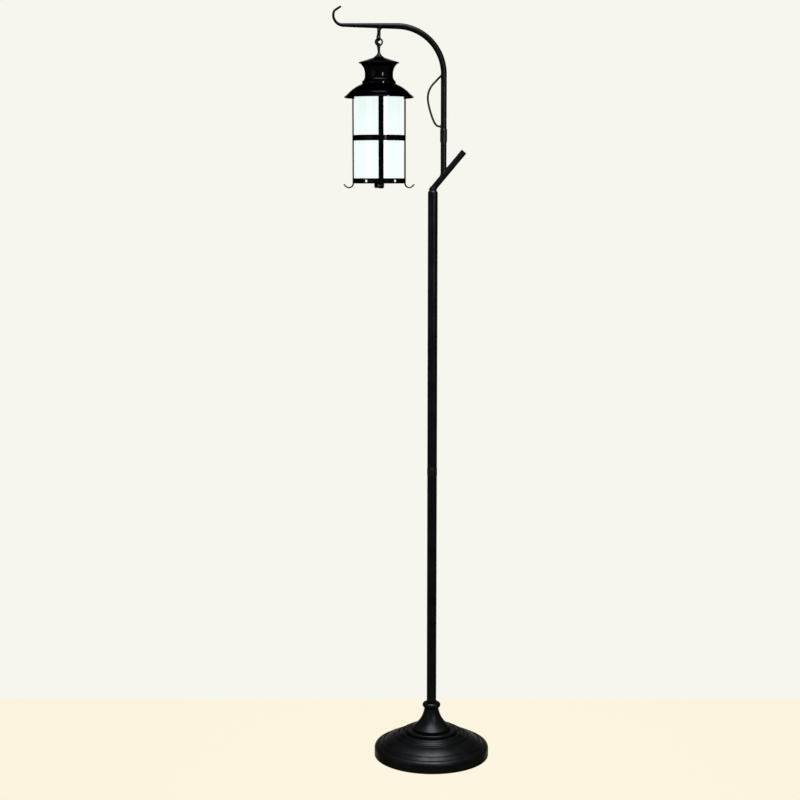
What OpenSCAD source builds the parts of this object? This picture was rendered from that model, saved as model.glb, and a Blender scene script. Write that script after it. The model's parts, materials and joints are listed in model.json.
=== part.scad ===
// Lantern floor lamp: a weighted spun foot with a flared bell, a post in three screwed lengths,
// a short cut-off branch with a riser and gooseneck welded on it, and a glass lantern that
// swings on a ring under the forged arm. Origin: centre of the foot on the floor, +Z up.
// The lantern hangs on the -X side and -Y is the front.

/* [Foot] */
// Outside diameter of the spun foot
foot_d = 248; // [236:2:300]
// Height of the flat that the bell stands on
foot_h = 59; // [55:1:66]
// Thickness of the spun steel of foot and bell
sheet_t = 1.6; // [1.2:0.1:1.9]
// Diameter of the cast iron weight
weight_d = 212; // [160:2:214]
// Thickness of the cast iron weight
weight_h = 16; // [13:1:16]
// Thickness of the felt pad under the weight
pad_t = 2; // [1:0.5:3]
// Diameter of the bell's lip
bell_d = 84; // [76:1:90]
// Height of the bell
bell_h = 41; // [34:1:50]
// Bore of the grommet for the mains lead
mains_bore_d = 5.5; // [4:0.5:6]

/* [Post] */
// Outside diameter of the post
post_d = 20.6; // [19:0.2:24]
// Wall of the post's tubes
post_wall = 1.2; // [1:0.1:1.6]
// Length of the post, with the part that stands in the collar
post_h = 1110; // [900:1:1250]
// Length of the lowest tube
lower_len = 510; // [300:1:600]
// Length of the middle tube
middle_len = 97; // [70:1:200]
// Height of the joint band between lowest and middle tube
band_h = 16; // [8:1:24]
// Diameter of the neck on top of the post
neck_d = 16; // [15:0.2:18]
// Height of the neck above the post
neck_h = 9; // [7:0.5:12]

/* [Branch and arm] */
// Outside diameter of the cut-off branch
branch_d = 12.7; // [12.5:0.1:14]
// Length of the branch from the post's axis
branch_len = 99; // [75:1:140]
// Angle of the branch above level, in degrees
branch_angle = 50; // [44:1:56]
// Outside diameter of riser and gooseneck
tube_d = 12.4; // [12:0.1:12.5]
// Wall of branch, riser and gooseneck
tube_wall = 1.2; // [1:0.1:1.5]
// Distance of the riser from the post's axis
riser_x = 22; // [20:1:28]
// Height of the joint in riser and gooseneck above the post
riser_h = 116; // [100:1:160]
// Height of the ferrule over that joint
ferrule_h = 26.6; // [18:0.2:34]
// Outside diameter of the ferrule
ferrule_d = 14.6; // [14.2:0.2:18]
// Straight height of the gooseneck above the joint
gooseneck_rise = 125; // [110:1:160]
// Radius of the gooseneck's bend at its centreline
bend_r = 97.5; // [85:0.5:120]
// Length of the tapered bar from the bend to the hook
arm_len = 110.5; // [75:0.5:150]
// Radius of the bar where the hook begins
bar_end_r = 3.9; // [3.2:0.1:4.5]
// Slope of the bar's axis, so that its top edge is level, in degrees
bar_lean = 1.1; // [0:0.1:2]
// Radius of the hook at its centreline
hook_r = 20; // [16:0.5:26]
// Radius of the hook's wire at its tip
hook_tip_r = 2.2; // [1.8:0.1:2.8]

/* [Hanger] */
// Distance of the hanger from the end of the bend
hanger_x = 36.5; // [30:0.5:60]
// Wire of staple and ring
link_wire = 3.4; // [2.6:0.1:3.8]
// Drop from the bend's top centreline to the staple's lowest wire
staple_drop = 29; // [22:1:40]
// Half the distance between the staple's legs
staple_r = 4.5; // [4.2:0.1:5]
// Radius of the ring at its centreline
ring_r = 7; // [6.6:0.1:9]
// Radius of the lantern's eye at its centreline
eye_r = 5; // [4.6:0.1:5.6]
// Wire of the lantern's eye
eye_wire = 3; // [2.4:0.1:3.2]
// Turn of staple and eye about the hanging line, in degrees
link_turn = 25; // [0:1:30]
// Free play where one link hangs in the next
link_play = 0.6; // [0.5:0.1:1]
// Diameter of the stem under the eye
stem_d = 5.4; // [4.6:0.1:6]
// Length of the stem from the eye to the lid
stem_len = 18; // [16:0.5:26]

/* [Lantern] */
// Turn of the lantern's frame about the hanging line, in degrees
lantern_turn = 5; // [-10:1:10]
// Diameter of the lid over the chimney
lid_d = 84.4; // [78:0.2:92]
// Diameter of the chimney's waist
waist_d = 58.5; // [57:0.5:64]
// Diameter of the roof at its rim
roof_d = 145; // [140:1:164]
// Thickness of the spun steel of lid, chimney and roof
roof_t = 1.2; // [1:0.1:1.5]
// Outside diameter of the glass
glass_d = 102; // [100:0.2:106]
// Wall of the glass
glass_t = 2.6; // [2:0.1:3.5]
// Height of the glass
glass_h = 187; // [175:1:240]
// Wall of the three bands
band_t = 1.3; // [1:0.1:1.8]
// Height of the band half way up the glass
mid_band_h = 11.6; // [8:0.2:16]
// Height of the ring round the foot of the glass
bottom_band_h = 10.8; // [9:0.2:16]
// Diameter of the holes in that ring
band_hole_d = 5.8; // [4:0.2:6.6]
// Width of the four straps
strap_w = 10.3; // [8:0.1:12]
// Thickness of the four straps
strap_t = 2.3; // [1.6:0.1:2.8]
// Radius of the curl at the foot of each strap, at its centreline
curl_r = 9; // [7:0.1:10]
// Length of the straight tip of each curl
curl_tip = 6; // [4:0.5:9]
// Diameter of the lamp holder
holder_d = 40; // [36:1:44]
// Diameter of the bulb
bulb_d = 60; // [50:1:70]

/* [Flex] */
// Diameter of the flex that feeds the lantern
flex_d = 4.4; // [3.6:0.1:4.4]

/* [Hidden] */
$fn = 96;

black = [0.05, 0.05, 0.06];
iron = [0.2, 0.2, 0.21];
steel = [0.62, 0.63, 0.65];

fit = 0.1; // play between pieces that slide together
seat = 0.2; // play of a screw in a plain hole

// Foot
foot_r = foot_d / 2;
bell_r = bell_d / 2;
post_r = post_d / 2;
post_bore_r = post_r - post_wall;
foot_edge_z = 0.5; // the cover's edge stays just off the floor
wall_h = 17.5; // where the foot's upright side ends
ridge_inset = 18.2; // from the foot's side to the bead at the edge of its dome
ridge_z = 29;
bead_big_r = 3.6; // the beads of the foot, and the smaller one at the dome's edge
bead_small_r = 2.4;
// Places on the foot's cover, out and up from the bell's lip
disc_bend_r = 3.5; // the disc's rounded edge
disc_bend = [10.5, -disc_bend_r];
disc_foot = [14.3, -7];
inner_bead = [21.8, -9.6];
outer_bead = [31.8, -15.6];
bead_hollow = [37.2, -17.8];
dome_start = [38.8, -16.6];
// Places on the foot's cover, out and up from the bead at the dome's edge
dome_end = [-3, 2.2];
ridge_foot = [6.4, -2.8];
ridge_hollow = [7.4, -3.7];
edge_start = [8.8, -3.1];
nipple_r = 5;
nipple_bore_r = 3.5;
nipple_hole_r = nipple_r + seat;
weight_top = pad_t + weight_h;
recess_r = 15; // the recess under the weight for washer and nut
recess_z = weight_top - 4;
washer_t = 1.4;
nut_h = 5;
nut_z = recess_z - washer_t - nut_h;
spacer_r = 8;
lead_slot_w = 8;
lead_slot_h = 7;
mains_z = 6.2;
mains_hole_r = mains_bore_d / 2 + 1.2;
mains_flange_r = mains_hole_r + 0.7;
bell_top = foot_h + bell_h;
bell_neck_r = post_r + 6;

// Post
collar_socket = 9; // how deep the post stands in the collar
collar_floor = bell_top + 9;
collar_top = collar_floor + collar_socket;
bead_r = 6.2; // the collar's bead
bead_x = post_r + 3;
post_z = collar_floor;
post_top = post_z + post_h;
seam_low = post_z + lower_len;
seam_mid = seam_low + band_h;
seam_high = seam_mid + middle_len;
coupler_bore_r = 5;
coupler_reach = 20;
plug_len = 20;
wire_bore_r = 4;
foot_plug_top = post_z + plug_len;

// Branch, riser and gooseneck
branch_r = branch_d / 2;
tube_r = tube_d / 2;
tube_bore_r = tube_r - tube_wall;
branch_bore_r = branch_r - tube_wall;
branch_z = post_top + 6.5; // where the branch's axis crosses the post's
riser_joint = post_top + riser_h;
bend_x = riser_x - bend_r;
bend_z = riser_joint + gooseneck_rise;
arm_z = bend_z + bend_r;
bar_start_r = tube_r - 0.1;
exit_z = riser_joint + ferrule_h / 2 + 5.5; // the hole where the flex leaves the tube
flex_r = flex_d / 2;
flex_hole_r = 3.3;
flex_flange_r = 3.9;
flex_bore_r = 2.3;
saddle_y = 9; // from the arm's axis to the flex behind it
saddle_len = 8;

// Hanger
hang_x = bend_x - hanger_x;
staple_z = arm_z - staple_drop;
ring_top = staple_z + link_wire + link_play;
ring_z = ring_top - ring_r;
ring_bottom = ring_z - ring_r;
eye_top = ring_bottom + (link_wire + eye_wire) / 2 + link_play;
eye_z = eye_top - eye_r;
lid_z = eye_z - eye_r - stem_len; // the flat on top of the lid

// Lantern, in heights below lid_z
lid_r = lid_d / 2;
waist_r = waist_d / 2;
roof_r = roof_d / 2;
glass_r = glass_d / 2;
hub_r = 10.5;
hub_h = 3;
rod_r = 4;
lid_flat_r = 12;
lid_rim_z = -10.8;
waist_top = -33;
waist_low = -38;
step_r = waist_r + 5.8;
step_z = -48.4;
roof_z = -53.4; // the roof's flange, under the chimney
roof_rim_z = -80.6;
flange_in_r = 29;
spider_z = roof_z - roof_t; // the cross bar's upper face
spider_t = 1.6;
spider_w = 14;
glass_top = -68;
glass_foot = glass_top - glass_h;
band_in_r = glass_r + 0.3;
band_out_r = band_in_r + band_t;
gasket_t = 1;
lip_t = 1.5;
lip_in_r = 45;
bottom_z = glass_foot - gasket_t - lip_t;
mid_drop = 96; // from the glass's upper edge to the middle of the band half way up
mid_z = glass_top - mid_drop;
top_band_z = -79.5;
top_band_h = 13.5;
hole_from_strap = 35; // degrees between a strap and the holes beside it
strap_in_r = band_out_r + 0.05;
strap_top = -67.6;
curl_z = bottom_z + 0.4;
curl_half_w = 7; // the forged curl is wider than its strap
holder_top = -66;
holder_r = holder_d / 2;
socket_r = 13.3;
socket_top = holder_top - 20;
socket_foot = holder_top - 54;
bulb_cap_r = 13.1;
bulb_cap_top = socket_top - 4;
bulb_cap_h = 25;
bulb_r = bulb_d / 2;
bulb_z = bulb_cap_top - bulb_cap_h - 24 - bulb_r;
gland_y = 20;
gland_r = 4;
gland_top = 5;

// The flex's free loop, from the hole in the tube to the first saddle: points relative to the
// riser's axis and to the hole's height
loop_points = [
  [-3.3, 0, 0], [-8, 0, 0], [-13, 0, 1], [-18, 0, 6], [-22, 0, 14], [-27, 0, 28],
  [-31, 0, 43], [-33, 1, 57.5], [-31, 3.5, 71], [-25, 6.5, 83], [-15, 8.7, 94], [-5, 9, 104.2]
];
// The tail from the last saddle to the lid's gland: points relative to the hanging line and to
// the staple's lowest wire
tail_points = [
  [7, 9.2, 28], [2, 10, 22.5], [-2, 11, 13], [-3.4, 12.2, 3], [-3, 13.8, -6.2],
  [-1.4, 16.6, -15], [-0.2, 19.2, -21.8]
];
// The lead inside post, branch and riser: points in the lower stretch are heights on the axis
branch_turn = [[1.5, 8.5], [6, 15], [12, 22.5], [18.6, 31], [21.4, 40], [22, 51]];

// Points of an arc about c, from angle a0 to a1
function arc(c, r, a0, a1, n = 8) =
  [for (i = [0 : n]) let (a = a0 + (a1 - a0) * i / n) c + r * [cos(a), sin(a)]];

// Points from p to q on a curve that turns by the given angle, to the left if it is positive
function bow(p, q, turn, n = 8) =
  let (
    d = q - p,
    r = norm(d) / 2 / sin(abs(turn) / 2),
    side = turn > 0 ? 1 : -1,
    m = (p + q) / 2,
    h = r * cos(abs(turn) / 2),
    c = m + side * h * [-d[1], d[0]] / norm(d),
    a0 = atan2(p[1] - c[1], p[0] - c[0])
  )
  [for (i = [0 : n]) let (a = a0 + turn * i / n) c + r * [cos(a), sin(a)]];

function unit(v) = v / norm(v);

// Normal, to the right, of the line through points i and i + 1
function normal(p, i) = let (d = unit(p[i + 1] - p[i])) [d[1], -d[0]];

// A line of points moved sideways by t, to the right of the way it runs
function beside(p, t) =
  [for (i = [0 : len(p) - 1])
    let (
      a = normal(p, max(i - 1, 0)),
      b = normal(p, min(i, len(p) - 2)),
      m = unit(a + b)
    )
    p[i] + t / (m * b) * m
  ];

function backwards(p) = [for (i = [len(p) - 1 : -1 : 0]) p[i]];

// A sheet of thickness t whose outer face is spun from a line of points
module spun(line, t) {
  rotate_extrude() polygon(concat(line, backwards(beside(line, t))));
}

// Direction of a route at its point i
function heading(p, i) = unit(p[min(i + 1, len(p) - 1)] - p[max(i - 1, 0)]);

// Cross directions along a route, each turned as little as possible from the one before
function crosswise(p, u, i = 0) =
  i == len(p) ? [] :
  let (t = heading(p, i), v = unit(u - (u * t) * t))
  concat([[v, cross(t, v)]], crosswise(p, v, i + 1));

// A round tube along a route, with a radius for each point
module swept(p, radii, first, sides = 8) {
  f = crosswise(p, first);
  n = len(p);
  points = [for (i = [0 : n - 1]) for (k = [0 : sides - 1])
    p[i] + radii[i] * (cos(360 * k / sides) * f[i][0] + sin(360 * k / sides) * f[i][1])];
  walls = [for (i = [0 : n - 2]) for (k = [0 : sides - 1])
    let (a = i * sides + k, b = i * sides + (k + 1) % sides)
    each [[a, a + sides, b], [b, a + sides, b + sides]]];
  ends = [
    [for (k = [0 : sides - 1]) k],
    [for (k = [sides - 1 : -1 : 0]) (n - 1) * sides + k]
  ];
  polyhedron(points, concat(walls, ends), convexity = 8);
}

// A straight tube standing on z
module pipe(r, bore, z, h) {
  translate([0, 0, z])
    difference() {
      cylinder(r = r, h = h);
      translate([0, 0, -1]) cylinder(r = bore, h = h + 2);
    }
}

// A wire ring in the XZ plane
module wire_ring(r, wire) {
  rotate([90, 0, 0]) rotate_extrude() translate([r, 0]) circle(r = wire / 2, $fn = 32);
}

module at_branch() translate([0, 0, branch_z]) rotate([0, 90 - branch_angle, 0]) children();

// The frame of the bar, whose -X runs along it
module at_bar() translate([bend_x, 0, arm_z]) rotate([0, bar_lean, 0]) children();

module at_lantern() translate([hang_x, 0, lid_z]) children();

module at_frame() at_lantern() rotate(lantern_turn) children();

// ---- Foot ----

module base_pad() {
  color([0.12, 0.12, 0.12]) cylinder(r = weight_d / 2 + 6, h = pad_t);
}

module base_weight() {
  color(iron)
    difference() {
      translate([0, 0, pad_t]) cylinder(r = weight_d / 2, h = weight_h);
      cylinder(r = nipple_hole_r, h = weight_top + 1);
      cylinder(r = recess_r, h = recess_z);
      translate([-lead_slot_w / 2, 0, 0])
        cube([lead_slot_w, weight_d, pad_t + lead_slot_h]);
    }
}

// The foot from the bell outwards: a disc, two beads, the dome, a small bead and the edge
function cover_line() =
  let (
    lip = [bell_r, foot_h],
    ridge = [foot_r - ridge_inset, ridge_z]
  )
  concat(
    [[nipple_hole_r, foot_h]],
    arc(lip + disc_bend, disc_bend_r, 90, 0, 6),
    [lip + disc_foot],
    arc(lip + inner_bead, bead_big_r, 145, 5, 8),
    arc(lip + outer_bead, bead_big_r, 140, 5, 8),
    [lip + bead_hollow],
    bow(lip + dome_start, ridge + dome_end, -24, 8),
    arc(ridge, bead_small_r, 130, 25, 6),
    [ridge + ridge_foot, ridge + ridge_hollow],
    bow(ridge + edge_start, [foot_r, wall_h], -75, 10),
    [[foot_r, foot_edge_z]]
  );

module base_cover() {
  color(black)
    difference() {
      spun(cover_line(), sheet_t);
      translate([0, foot_r - 8, mains_z])
        rotate([-90, 0, 0]) cylinder(r = mains_hole_r, h = 16);
    }
}

module base_spacer() {
  color(steel) pipe(spacer_r, nipple_hole_r, weight_top, foot_h - sheet_t - weight_top);
}

module base_washer() {
  color(steel) pipe(recess_r - 1, nipple_hole_r, recess_z - washer_t, washer_t);
}

module base_locknut() {
  color(steel)
    translate([0, 0, nut_z])
      difference() {
        cylinder(r = 9.8, h = nut_h, $fn = 6);
        translate([0, 0, -1]) cylinder(r = nipple_r + 0.05, h = nut_h + 2);
      }
}

module base_nipple() {
  color(steel) pipe(nipple_r, nipple_bore_r, nut_z - 0.6, foot_plug_top + 1 - nut_z);
}

module mains_grommet() {
  color([0.08, 0.08, 0.08])
    translate([0, foot_r, mains_z])
      rotate([-90, 0, 0])
        difference() {
          union() {
            translate([0, 0, -sheet_t - 2.2])
              cylinder(r = mains_hole_r - fit, h = sheet_t + 3);
            translate([0, 0, 0.2]) cylinder(r = mains_flange_r, h = 1.6);
            translate([0, 0, -sheet_t - 2.2]) cylinder(r = mains_flange_r, h = 1.8);
          }
          translate([0, 0, -10]) cylinder(r = mains_bore_d / 2, h = 20);
        }
}

module base_bell() {
  color(black)
    spun(concat(
      [[nipple_hole_r, bell_top]],
      bow([bell_neck_r, bell_top], [bell_r - 1.2, foot_h + 4.4], 45, 12),
      [[bell_r - 0.2, foot_h + 3.5], [bell_r, foot_h + 2.8], [bell_r, foot_h]]
    ), sheet_t);
}

module base_collar() {
  color(black)
    rotate_extrude()
      polygon(concat(
        [[nipple_hole_r, bell_top], [bell_neck_r - 0.2, bell_top]],
        [[bell_neck_r - 0.7, bell_top + 2], [bell_neck_r - 0.9, bell_top + 4.2]],
        arc([bead_x, collar_top - bead_r], bead_r, -70, 90, 14),
        [[post_r + fit, collar_top], [post_r + fit, collar_floor]],
        [[nipple_hole_r, collar_floor]]
      ));
}

// ---- Post ----

module post_foot_plug() {
  color(steel) pipe(post_bore_r - fit, nipple_r + 0.05, post_z, plug_len);
}

module post_lower() {
  color(black) pipe(post_r, post_bore_r, post_z, lower_len);
}

module post_joint_band() {
  color([0.1, 0.1, 0.11])
    rotate_extrude()
      polygon([
        [post_bore_r, seam_low], [post_r, seam_low], [post_r + 0.4, seam_low + 0.6],
        [post_r + 0.4, seam_mid - 0.6], [post_r, seam_mid], [post_bore_r, seam_mid]
      ]);
}

module post_coupler_lower() {
  color(steel)
    pipe(post_bore_r - fit, coupler_bore_r, seam_low - coupler_reach, band_h + 2 * coupler_reach);
}

module post_middle() {
  color(black) pipe(post_r, post_bore_r, seam_mid, middle_len);
}

module post_coupler_upper() {
  color(steel)
    pipe(post_bore_r - fit, coupler_bore_r, seam_high - coupler_reach, 2 * coupler_reach);
}

module post_upper() {
  color(black) pipe(post_r, post_bore_r, seam_high, post_top - seam_high);
}

module post_neck() {
  color(black)
    difference() {
      rotate_extrude()
        polygon(concat(
          [[0, post_top - plug_len], [post_bore_r - fit, post_top - plug_len]],
          [[post_bore_r - fit, post_top], [post_r, post_top]],
          [[neck_d / 2, post_top + 2.6]],
          arc([neck_d / 2 - 2.5, post_top + neck_h - 2.5], 2.5, 0, 90, 5),
          [[0, post_top + neck_h]]
        ));
      translate([0, 0, post_top - plug_len - 1]) cylinder(r = wire_bore_r, h = plug_len + 8);
      at_branch() cylinder(r = branch_r, h = branch_len);
    }
}

// ---- Branch, riser and gooseneck ----

module branch_stub() {
  color(black)
    difference() {
      at_branch()
        difference() {
          cylinder(r = branch_r, h = branch_len);
          translate([0, 0, -1]) cylinder(r = branch_bore_r, h = branch_len + 2);
        }
      translate([riser_x, 0, branch_z + riser_x * tan(branch_angle)])
        cylinder(r = tube_bore_r - 0.2, h = 30);
    }
}

module branch_cap() {
  color(black)
    at_branch()
      translate([0, 0, branch_len]) {
        cylinder(r = branch_r, h = 1.4);
        translate([0, 0, -8]) cylinder(r = branch_bore_r - fit, h = 8.5);
      }
}

module riser() {
  color(black)
    difference() {
      translate([riser_x, 0, 0])
        pipe(tube_r, tube_bore_r, branch_z + 8, riser_joint - branch_z - 8);
      at_branch() {
        translate([0, 0, -60]) cylinder(r = branch_r, h = branch_len + 60);
        translate([0, -20, -60]) cube([80, 40, branch_len + 60]);
      }
    }
}

module riser_spigot() {
  color(steel) translate([riser_x, 0, 0]) pipe(tube_bore_r - fit, 3.4, riser_joint - 18, 28);
}

module riser_ferrule() {
  color([0.09, 0.09, 0.1])
    translate([riser_x, 0, riser_joint])
      rotate_extrude()
        polygon([
          [tube_r + fit, -ferrule_h / 2], [ferrule_d / 2 - 0.4, -ferrule_h / 2],
          [ferrule_d / 2, -ferrule_h / 2 + 0.6], [ferrule_d / 2, ferrule_h / 2 - 0.6],
          [ferrule_d / 2 - 0.4, ferrule_h / 2], [tube_r + fit, ferrule_h / 2]
        ]);
}

module gooseneck() {
  color(black)
    difference() {
      union() {
        translate([riser_x, 0, 0])
          pipe(tube_r, tube_bore_r, riser_joint + 0.1, gooseneck_rise - 0.1);
        translate([bend_x, 0, bend_z])
          rotate([90, 0, 0])
            rotate_extrude(angle = 90)
              translate([bend_r, 0])
                difference() {
                  circle(r = tube_r);
                  circle(r = tube_bore_r);
                }
      }
      translate([riser_x, 0, exit_z]) rotate([0, -90, 0]) cylinder(r = flex_hole_r, h = 10);
    }
}

module flex_grommet() {
  color([0.06, 0.06, 0.06])
    translate([riser_x, 0, exit_z])
      rotate([0, -90, 0])
        difference() {
          union() {
            translate([0, 0, tube_bore_r - 0.6]) cylinder(r = flex_hole_r - fit, h = tube_wall + 1.4);
            translate([0, 0, tube_r + 0.1]) cylinder(r = flex_flange_r, h = 1);
          }
          cylinder(r = flex_bore_r, h = 12);
        }
}

// Centre line of the hook in the bar's frame: the round, a tighter turn, and the straight tip
hook_back = 165; // where the tighter turn begins
hook_exit = 124;
hook_turn_r = hook_r * 0.45;
hook_tip_len = 14;
hook_c = [-arm_len, hook_r];
turn_c = hook_c + (hook_r - hook_turn_r) * [cos(hook_back), sin(hook_back)];
tip_dir = [sin(hook_exit), -cos(hook_exit)];
tip_start = turn_c + hook_turn_r * [cos(hook_exit), sin(hook_exit)];
hook_line = concat(
  [[-arm_len + 1.5, 0]],
  arc(hook_c, hook_r, 270, hook_back, 14),
  [for (a = [hook_back - 12 : -12 : hook_exit]) turn_c + hook_turn_r * [cos(a), sin(a)]],
  [for (s = [0.25, 0.55, 0.85, 0.96, 1]) tip_start + s * hook_tip_len * tip_dir]
);
hook_n = len(hook_line);

// The wire thins quickly out of the bar, then evenly to its rounded tip
function hook_wire_r(i) =
  let (s = i / (hook_n - 1), even = hook_tip_r + 0.9 * (1 - s))
  i >= hook_n - 1 ? hook_tip_r * 0.45 :
  i == hook_n - 2 ? hook_tip_r * 0.85 :
  even + (bar_end_r - even) * pow(max(0, 1 - s / 0.3), 1.6);

module bar_solid(extra = 0) {
  at_bar()
    translate([3, 0, 0])
      rotate([0, -90, 0])
        cylinder(r1 = bar_start_r + extra + 3 * bar_slope, r2 = bar_end_r + extra, h = arm_len + 3);
}

bar_slope = (bar_start_r - bar_end_r) / arm_len;

module arm_hook() {
  color(black) {
    difference() {
      bar_solid();
      translate([bend_x, -20, arm_z - 20]) cube(40);
    }
    at_bar()
      swept(
        [for (p = hook_line) [p[0], 0, p[1]]],
        [for (i = [0 : hook_n - 1]) hook_wire_r(i) - (i == 0 ? 0.06 : 0)],
        [0, 1, 0], 16
      );
    translate([bend_x - 0.5, 0, arm_z]) rotate([0, 90, 0]) cylinder(r = tube_bore_r - 0.6, h = 7.5);
  }
}

// ---- Hanger ----

module hanger_staple() {
  color(black)
    difference() {
      translate([hang_x, 0, staple_z])
        rotate(90 + link_turn) {
          intersection() {
            translate([0, 0, staple_r]) wire_ring(staple_r, link_wire);
            translate([-20, -20, staple_r - 30]) cube([40, 40, 30]);
          }
          for (x = [-staple_r, staple_r])
            translate([x, 0, staple_r])
              cylinder(r = link_wire / 2, h = staple_drop - staple_r, $fn = 32);
        }
      bar_solid();
    }
}

module saddle(r) {
  difference() {
    union() {
      translate([0, saddle_y, 0]) cylinder(r = flex_r + 1.1, h = saddle_len, center = true, $fn = 48);
      translate([-2.5, r - 1.5, -saddle_len / 2]) cube([5, saddle_y - r, saddle_len]);
    }
    cylinder(r = r + fit, h = saddle_len + 2, center = true);
    translate([0, saddle_y, 0])
      cylinder(r = flex_r + 0.25, h = saddle_len + 2, center = true, $fn = 48);
    translate([-1.4, saddle_y, -saddle_len]) cube([2.8, 10, 2 * saddle_len]);
  }
}

saddle_at = [14, 50]; // places of the first two saddles round the bend, in degrees
saddle_bar = 18; // place of the last one on the bar

module flex_saddles() {
  color([0.07, 0.07, 0.07]) {
    for (a = saddle_at)
      translate([bend_x, 0, bend_z]) rotate([0, -a, 0]) translate([bend_r, 0, 0]) saddle(tube_r);
    at_bar()
      translate([-saddle_bar, 0, 0])
        rotate([0, -90, 0]) saddle(bar_start_r - saddle_bar * bar_slope + 0.05);
  }
}

// ---- Flex ----

lead_end = [riser_x - 3, 0, exit_z];
tail_at = hanger_x - 14; // where the free tail begins, from the end of the bend

function along_bar(s) = [bend_x - s, saddle_y, arm_z + s * tan(bar_lean)];

module inner_lead() {
  route = concat(
    [for (z = [nut_z, post_z, seam_high, post_top - 14, post_top - 4]) [0, 0, z]],
    [for (p = branch_turn) [p[0] * riser_x / 22, 0, branch_z - 6.5 + p[1]]],
    [[riser_x, 0, riser_joint - 20], [riser_x, 0, exit_z - 12], [riser_x - 0.3, 0, exit_z - 5]],
    [[riser_x - 0.9, 0, exit_z - 1.6], [riser_x - 2, 0, exit_z - 0.2], lead_end]
  );
  color([0.05, 0.05, 0.05]) swept(route, [for (p = route) flex_r], [0, 1, 0]);
}

module feed_flex() {
  bend = [for (a = [5 : 5 : 90])
    [bend_x + bend_r * cos(a), saddle_y, bend_z + bend_r * sin(a)]];
  bar = [for (s = [9, tail_at]) along_bar(s)];
  loop = [for (p = loop_points) [riser_x + p[0], p[1], exit_z + p[2]]];
  route = concat(loop, [[riser_x, saddle_y, bend_z + 3]], bend, bar);
  color([0.05, 0.05, 0.05]) swept(route, [for (p = route) flex_r], [0, 1, 0]);
}

module flex_tail() {
  route = concat(
    [along_bar(tail_at + 0.3), along_bar(tail_at + 3)],
    [for (p = tail_points) [hang_x + p[0], p[1], staple_z + p[2]]],
    [[hang_x, gland_y, lid_z + gland_top + 3], [hang_x, gland_y, lid_z + gland_top + 0.3]]
  );
  color([0.05, 0.05, 0.05]) swept(route, [for (p = route) flex_r], [0, 1, 0]);
}

module lamp_lead() {
  route = [
    [0, gland_y, gland_top], [0, gland_y, -12], [0, gland_y - 1, -24], [0, gland_y - 4, -40],
    [0, gland_y - 6, -52], [0, gland_y - 7, -60], [0, gland_y - 8, holder_top - 2]
  ];
  color([0.05, 0.05, 0.05])
    at_lantern() swept(route, [for (p = route) flex_r], [1, 0, 0]);
}

// ---- Ring ----

module hanger_ring() {
  color(black) translate([hang_x, 0, ring_z]) wire_ring(ring_r, link_wire);
}

// ---- Lantern ----

module lantern_eye() {
  color(black)
    translate([hang_x, 0, 0]) {
      translate([0, 0, eye_z]) rotate(90 + link_turn) wire_ring(eye_r, eye_wire);
      translate([0, 0, lid_z])
        difference() {
          rotate_extrude()
            polygon(concat(
              [[0, 0], [hub_r, 0], [hub_r, 0.9]],
              bow([hub_r - 0.4, 1.3], [stem_d / 2, hub_h + 7], -50, 8),
              [[stem_d / 2, stem_len - 0.4], [stem_d / 2 - 0.6, stem_len + 0.6], [0, stem_len + 0.6]]
            ));
          translate([0, 0, -1]) cylinder(r = rod_r + 0.05, h = hub_h + 1.6);
        }
    }
}

function lid_line() = concat(
  [[rod_r + seat, 0], [lid_flat_r - 1, 0]],
  [[lid_r - 2.4, lid_rim_z + 1.6], [lid_r - 0.4, lid_rim_z + 0.6], [lid_r, lid_rim_z - 0.6]]
);

module lantern_lid() {
  color(black)
    at_lantern()
      difference() {
        spun(lid_line(), roof_t);
        translate([0, gland_y, -20]) cylinder(r = gland_r + fit, h = 30);
      }
}

// A curve from p to q, upright where it meets q (end 1) or p (end 0)
function flare(p, q, n = 10) = bow(p, q, 2 * atan(abs(p[0] - q[0]) / (p[1] - q[1])), n);

// The chimney's outer line, from under the lid down to the step
function chimney_line() = concat(
  flare([lid_r - 2.2, lid_rim_z - 0.7], [waist_r, waist_top]),
  flare([waist_r, waist_low], [step_r - 0.4, step_z], 8),
  [[step_r, step_z - 1.4], [step_r, roof_z]]
);

module lantern_chimney() {
  color(black) at_lantern() spun(chimney_line(), roof_t);
}

function roof_line() = concat(
  [[flange_in_r, roof_z], [step_r + 0.8, roof_z]],
  bow([step_r + 2, roof_z - 1], [roof_r - 8, roof_z - 20], -25, 8),
  [[roof_r - 0.8, roof_rim_z + 1], [roof_r, roof_rim_z + 0.2], [roof_r, roof_rim_z - 1]]
);

module lantern_roof() {
  color(black) at_lantern() spun(roof_line(), roof_t);
}

module lid_gland() {
  color([0.06, 0.06, 0.06])
    at_lantern()
      difference() {
        union() {
          difference() {
            translate([0, gland_y, -8]) cylinder(r = gland_r + 1.4, h = 8 + gland_top);
            rotate_extrude()
              polygon(concat([[0, 0.05]], [for (p = lid_line()) p + [0, 0.05]], [[0, -30]]));
          }
          translate([0, gland_y, -9]) cylinder(r = gland_r, h = 9);
        }
        translate([0, gland_y, -20]) cylinder(r = flex_r + fit, h = 40);
      }
}

module hanging_rod() {
  color(steel)
    at_lantern() translate([0, 0, holder_top - 5]) cylinder(r = rod_r, h = hub_h + 5.4 - holder_top);
}

module hex_nut(z) {
  translate([0, 0, z])
    difference() {
      cylinder(r = 7.5, h = 6, $fn = 6);
      translate([0, 0, -1]) cylinder(r = rod_r + 0.05, h = 8);
    }
}

module rod_nuts() {
  color(steel) at_lantern() {
    hex_nut(-roof_t - 6);
    hex_nut(spider_z - spider_t - 6);
  }
}

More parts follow.
